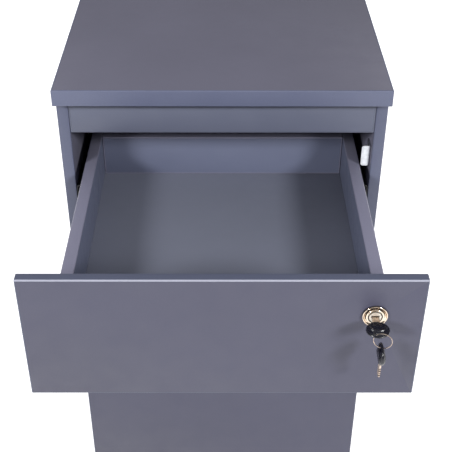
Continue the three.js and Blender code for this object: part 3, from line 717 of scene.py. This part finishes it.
def strike():
    """An angle bracket folded from one strip, its free corners rounded."""
    low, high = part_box("strike_plate")
    steel, corner = STRIKE_STEEL, STRIKE_CORNER
    turns = (math.radians(90 * k / STRIKE_STEPS) for k in range(STRIKE_STEPS + 1))
    drops = [(corner - corner * math.cos(t), corner - corner * math.sin(t)) for t in turns]
    stations = [(low.z + rise, shorter) for rise, shorter in drops]
    stations += [(low.z + high.z - z, s) for z, s in reversed(stations)]
    rings = []
    for z, shorter in stations:
        path = [(low.x + shorter, low.y + steel / 2), (high.x - steel / 2, low.y + steel / 2),
                (high.x - steel / 2, high.y - shorter)]
        rings.append([Vector((x, y, z)) for x, y in strip(path, steel, STRIKE_BEND, STRIKE_STEPS)])
    return loft(bmesh.new(), rings)


strike_cutters = []
for name in ("lower", "upper"):
    middle = middle_of(f"strike_screw_{name}")
    turn = Matrix.Translation(middle) @ Matrix.Rotation(math.pi / 2, 4, "Z")
    strike_cutters.append(turned(bmesh.new(), mm_profile(STRIKE_HOLE), turn, 24))
make("strike_bracket", strike(), (ZINC,), "strike_plate", cutters=strike_cutters)

for name in ("lower", "upper"):
    low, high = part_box(f"strike_screw_{name}")
    middle = middle_of(f"strike_screw_{name}")
    place = Matrix.Translation((low.x, middle.y, middle.z)) @ Matrix.Rotation(-math.pi / 2, 4, "Z")
    length = (high.x - low.x) / MM
    shank = [(SHANK, SHANK_START + 0.5), (SHANK_ROOT, SHANK_START + 0.2)]
    thread = SHANK_START
    while thread > SHANK_POINT - length:
        crest, end = thread - SHANK_PITCH * 0.4, thread - SHANK_PITCH * 0.8
        shank += [(SHANK_ROOT, thread), (SHANK, crest), (SHANK_ROOT, end)]
        thread -= SHANK_PITCH
    bm = turned(bmesh.new(), mm_profile(PAN_HEAD + shank + [(AXIS, -length)]), place, 32)
    cross = recess(*STRIKE_RECESS, place)
    make(f"strike_screw_{name}_pan", bm, (ZINC,), f"strike_screw_{name}", cutters=cross)


# --------------------------------------------------------------------- keys

# A key lies flat in its own frame, in millimetres: slot's middle at the origin, blade along +Y.
# The bow's rings: half width, half length, height off the middle plane, from the sunk middle out to the edge
BOW_RINGS = (
    (2.6, 1.9, 3.0), (5.0, 3.6, 3.0), (7.0, 5.2, 3.0), (7.4, 5.6, 3.05), (7.8, 6.0, 3.25),
    (8.2, 6.4, 3.43), (8.6, 6.75, 3.5), (9.0, 7.1, 3.42), (9.35, 7.4, 3.15), (9.6, 7.6, 2.75),
    (9.75, 7.9, 2.3), (10.0, 8.3, 2.1), (10.4, 8.9, 2.12), (10.8, 9.5, 2.2), (11.1, 10.0, 2.12),
    (11.4, 10.4, 1.92), (11.7, 10.8, 1.6), (11.95, 11.12, 1.2), (12.1, 11.35, 0.78),
    (12.18, 11.46, 0.4), (12.2, 11.5, 0.12),
)
BOW_MIDDLE, BOW_HALF_LENGTH = 7.1, 11.5
ROOT = BOW_MIDDLE + BOW_HALF_LENGTH
FLANGE_HEIGHT, PAD_HALF_LENGTH = 2.2, 7.6
PAD_MIDDLE = ROOT - 0.7 - PAD_HALF_LENGTH
# The bow thins away from its highest place, the flange a little and the pad a lot
HIGHEST, TAPER_REACH = 7.5, 10.4
TAPER, PAD_TAPER = 0.15, 0.8
# The slot's length, width and corner radius, and how much wider its cutter is at each height
SLOT = (11.0, 4.2, 1.2)
SLOT_FLARE = ((-5, 1.6), (-2.0, 0), (2.0, 0), (5, 1.6))

BLADE_LENGTH, BLADE_HALF_WIDTH, BLADE_HALF_THICK, BLADE_EASE = 20, 3.8, 0.95, 0.15
TANG_LENGTH, TANG_HALF_WIDTH, SHOULDER = 8, 2.5, 0.3
POCKET_SPANS = (-2.8, 2.8), (ROOT - 9.3, ROOT + 1), (-1.25, 1.25)
TIP_LENGTH, TIP_HALF_WIDTH = 2.6, 1.2
FIRST_CUT, CUT_PITCH, CUT_REACH, CUT_FLAT = 6.5, 3, 1.1, 0.3
BITTING = (0.9, 1.5, 0.7, 1.2)
# Where the blade's edges get painted shade, in the cuts of its bitting
CUT_SHADE_FROM, CUT_SHADE_ACROSS = 4, (1.3, 3.7)
# The milled groove: middle, half width at the top and bottom, height of the top and bottom, and overrun
GROOVE_MIDDLE, GROOVE_WIDTHS, GROOVE_HEIGHTS, GROOVE_OVERRUN = 1.1, (0.7, 0.42), (1.5, 0.45), 2


def bow():
    """A moulded key bow: a raised oval pad with a rim round its sunk middle, on both faces."""
    upper = []
    for half_width, half_length, height in BOW_RINGS:
        share = min(1.0, max(0.0, (half_length - PAD_HALF_LENGTH) / (BOW_HALF_LENGTH - PAD_HALF_LENGTH)))
        middle = PAD_MIDDLE * (1 - share) + BOW_MIDDLE * share
        upper.append((height, ellipse(half_width, half_length, middle)))
    stations = upper + [(-height, outline) for height, outline in reversed(upper)]
    bm = swept(bmesh.new(), stations, Z)
    for vert in bm.verts:
        share = min(1.0, ((vert.co.y - HIGHEST) / TAPER_REACH) ** 2)
        flange = min(abs(vert.co.z), FLANGE_HEIGHT) * (1 - TAPER * share)
        pad = max(0.0, abs(vert.co.z) - FLANGE_HEIGHT) * (1 - PAD_TAPER * share)
        vert.co.z = math.copysign(flange + pad, vert.co.z)
    return moved(bm, Matrix.Scale(MM, 4))


def slot_cutter():
    """Cuts the bow's slot, flared where it meets each face."""
    length, width, corner = SLOT
    stations = [(z, rounded_rectangle(length + grow, width + grow, corner + grow / 2))
                for z, grow in SLOT_FLARE]
    return moved(swept(bmesh.new(), stations, Z), Matrix.Scale(MM, 4))


def tang_pocket():
    """Cuts the pocket in the bow that the blade's tang sits in."""
    return moved(box_cutter(*POCKET_SPANS), Matrix.Scale(MM, 4))


def blade():
    """The key's blade: cut on both edges, its arrises eased, a shoulder where it meets the bow. The faces in
    the cuts get painted shade.
    """
    tip, tang, full = ROOT + BLADE_LENGTH, TANG_HALF_WIDTH, BLADE_HALF_WIDTH
    side = [(tang, ROOT - TANG_LENGTH), (tang, ROOT + SHOULDER), (full, ROOT + SHOULDER)]
    for i, depth in enumerate(BITTING):
        y = ROOT + FIRST_CUT + CUT_PITCH * i
        side += [(full, y - CUT_REACH), (full - depth, y - CUT_FLAT), (full - depth, y + CUT_FLAT),
                 (full, y + CUT_REACH)]
    side += [(full, tip - TIP_LENGTH), (TIP_HALF_WIDTH, tip)]
    outline = side + [(-x, y) for x, y in reversed(side)]
    half, ease = BLADE_HALF_THICK, BLADE_EASE
    stations = [(-half, ease), (ease - half, 0), (half - ease, 0), (half, ease)]
    bm = swept(bmesh.new(), [(z, inset(outline, d)) for z, d in stations], Z)
    # Faces in the bitting cuts get painted shade
    for face in bm.faces:
        middle = face.calc_center_median()
        if ROOT + CUT_SHADE_FROM < middle.y < tip - TIP_LENGTH and CUT_SHADE_ACROSS[0] < abs(middle.x) < CUT_SHADE_ACROSS[1]:
            face.material_index = PAINTED_SHADE
    return moved(bm, Matrix.Scale(MM, 4))


def blade_groove(face):
    """Cuts the milled groove along one face of the blade."""
    x, (wide, narrow), (top, bottom) = face * GROOVE_MIDDLE, GROOVE_WIDTHS, (face * z for z in GROOVE_HEIGHTS)
    outline = [(x - wide, top), (x - narrow, bottom), (x + narrow, bottom), (x + wide, top)]
    ends = (ROOT + GROOVE_OVERRUN, ROOT + BLADE_LENGTH + GROOVE_OVERRUN)
    stations = [(y, outline) for y in ends]
    return moved(swept(bmesh.new(), stations, Y), Matrix.Scale(MM, 4))


def key(prefix, place):
    make(f"{prefix}_bow_moulding", moved(bow(), place), (BOW,), f"{prefix}_bow",
         cutters=[moved(slot_cutter(), place), moved(tang_pocket(), place)], sharp=50)
    make(f"{prefix}_blade_cut", moved(blade(), place), (BLADE, BLADE_CUT_SHADE), f"{prefix}_blade",
         cutters=[moved(blade_groove(face), place) for face in (-1, 1)])


SLOT_TO_END = 4.4 * MM
low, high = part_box("key_bow")
key("key", Matrix.Translation(((low.x + high.x) / 2, low.y + SLOT_TO_END, (low.z + high.z) / 2)))
low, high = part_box("spare_key_bow")
# The spare key hangs with its blade down and its faces to the left and right
hang = Matrix(((0, 0, 1, 0), (-1, 0, 0, 0), (0, -1, 0, 0), (0, 0, 0, 1)))
slot_middle = ((low.x + high.x) / 2, (low.y + high.y) / 2, high.z - SLOT_TO_END)
key("spare_key", Matrix.Translation(slot_middle) @ hang)


COILS, COIL_STEPS, COIL_INSET, COIL_TRAVEL = 2, 72, 0.95 * MM, 0.744 * MM
WIRE_WIDE, WIRE_THICK, WIRE_CORNER = 0.76 * MM, 0.5 * MM, 0.2 * MM
RING_TURN, COIL_START = math.radians(-15), math.radians(200)


def split_ring():
    """Two close coils of flattened spring wire."""
    low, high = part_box("split_ring")
    radius = (high.z - low.z) / 2 - COIL_INSET
    place = Matrix.Translation((low + high) / 2) @ Matrix.Rotation(RING_TURN, 4, "Z")
    wire = rounded_rectangle(WIRE_WIDE, WIRE_THICK, WIRE_CORNER, 2)
    count = COIL_STEPS * COILS
    rings = []
    for i in range(count + 1):
        turn = 2 * math.pi * i / COIL_STEPS + COIL_START
        along = (i / count - 0.5) * COIL_TRAVEL
        across, up = math.cos(turn), math.sin(turn)
        rings.append([place @ Vector(((radius + a) * across, along + b, (radius + a) * up)) for a, b in wire])
    return loft(bmesh.new(), rings)


make("split_ring_coils", split_ring(), (WIRE,), "split_ring")


# --------------------------------------------------------------------- feet

# A foot's radius and height up from the floor, in millimetres
FOOT_PROFILE = [
    (AXIS, 0.0), (17.6, 0.0), (19.0, 0.3), (19.8, 1.2), (20.2, 2.6), (20.6, 3.4), (20.6, 4.2), (20.1, 4.8),
    (20.4, 6.4), (21.2, 9.4), (22.2, 12.6), (23.2, 14.0), (23.8, 14.6), (24.0, 15.4), (24.0, 17.2),
    (23.7, 17.7), (AXIS, 17.7),
]
foot = [(radius * MM, -height * MM) for radius, height in FOOT_PROFILE]
for node in ("front_left_foot", "front_right_foot", "rear_left_foot", "rear_right_foot"):
    middle = middle_of(node)
    upright = Matrix.Translation((middle.x, middle.y, 0)) @ Matrix.Rotation(math.pi / 2, 4, "X")
    make(f"{node}_glide", turned(bmesh.new(), foot, upright), (FOOT,), node)


# ----------------------------------------------------- floor, light, camera

FLOOR_SIZE = 120.0
bpy.ops.mesh.primitive_plane_add(size=FLOOR_SIZE, location=(0, 0, 0))
floor = bpy.context.object
floor.name = "studio_floor"
floor.visible_diffuse = False
floor.data.materials.append(FLOOR)

# Places in metres, and each light's size across in metres and power in watts
AIM = Vector((0, -0.15, 0.60))
KEY_DIRECTION, KEY_DISTANCE, KEY_LIGHT = (1.0, -1.0, 0.76), 4.5, (0.95, 160)
OVERHEAD_PLACE, OVERHEAD_LIGHT = (0, -0.30, 2.3), (1.2, 2.0)
FRONT_PLACE, FRONT_LIGHT = AIM + Vector((0.25, -0.80, 0.60)) * 2.4, (0.9, 2.5)
REAR_PLACE, REAR_LIGHT = (2.6, 2.8, 1.2), (1.2, 45)
WORLD_STRENGTH = 0.19


def soft_light(name, place, size, power):
    """A round area light that points at the pedestal."""
    light = bpy.data.lights.new(name, "AREA")
    light.shape = "DISK"
    light.size = size
    light.energy = power
    lamp = bpy.data.objects.new(name, light)
    bpy.context.scene.collection.objects.link(lamp)
    lamp.location = place
    lamp.rotation_euler = (AIM - Vector(place)).to_track_quat("-Z", "Y").to_euler()


for name, side in SIDES:
    direction = Vector((side * KEY_DIRECTION[0], *KEY_DIRECTION[1:])).normalized()
    soft_light(f"key_light_{name}", AIM + direction * KEY_DISTANCE, *KEY_LIGHT)

soft_light("overhead_light", OVERHEAD_PLACE, *OVERHEAD_LIGHT)
soft_light("front_light", FRONT_PLACE, *FRONT_LIGHT)

for name, side in SIDES:
    soft_light(f"rear_light_{name}", (side * REAR_PLACE[0], *REAR_PLACE[1:]), *REAR_LIGHT)

world = bpy.data.worlds.new("studio")
bpy.context.scene.world = world
world.use_nodes = True
world.node_tree.nodes["Background"].inputs["Color"].default_value = (1, 1, 1, 1)
world.node_tree.nodes["Background"].inputs["Strength"].default_value = WORLD_STRENGTH

# The camera stands in front, a little above the top, and looks down into the drawer
CAMERA_PLACE = (0.00166, -1.08543, 1.25356)
SENSOR_WIDTH, FOCAL_LENGTH = 36, 74.33
PITCH, YAW, ROLL = (math.radians(a) for a in (35.656, 0.180, 0.1385))
camera_data = bpy.data.cameras.new("camera")
camera_data.sensor_width = SENSOR_WIDTH
camera_data.lens = FOCAL_LENGTH
camera = bpy.data.objects.new("camera", camera_data)
bpy.context.scene.collection.objects.link(camera)
forward = Vector((math.sin(YAW) * math.cos(PITCH), math.cos(YAW) * math.cos(PITCH), -math.sin(PITCH)))
level = Vector((math.cos(YAW), -math.sin(YAW), 0))
upward = level.cross(forward)
right = level * math.cos(ROLL) + upward * math.sin(ROLL)
camera.matrix_world = Matrix((right, right.cross(forward), -forward)).transposed().to_4x4()
camera.location = CAMERA_PLACE
bpy.context.scene.camera = camera
bpy.context.scene.view_settings.view_transform = "Standard"
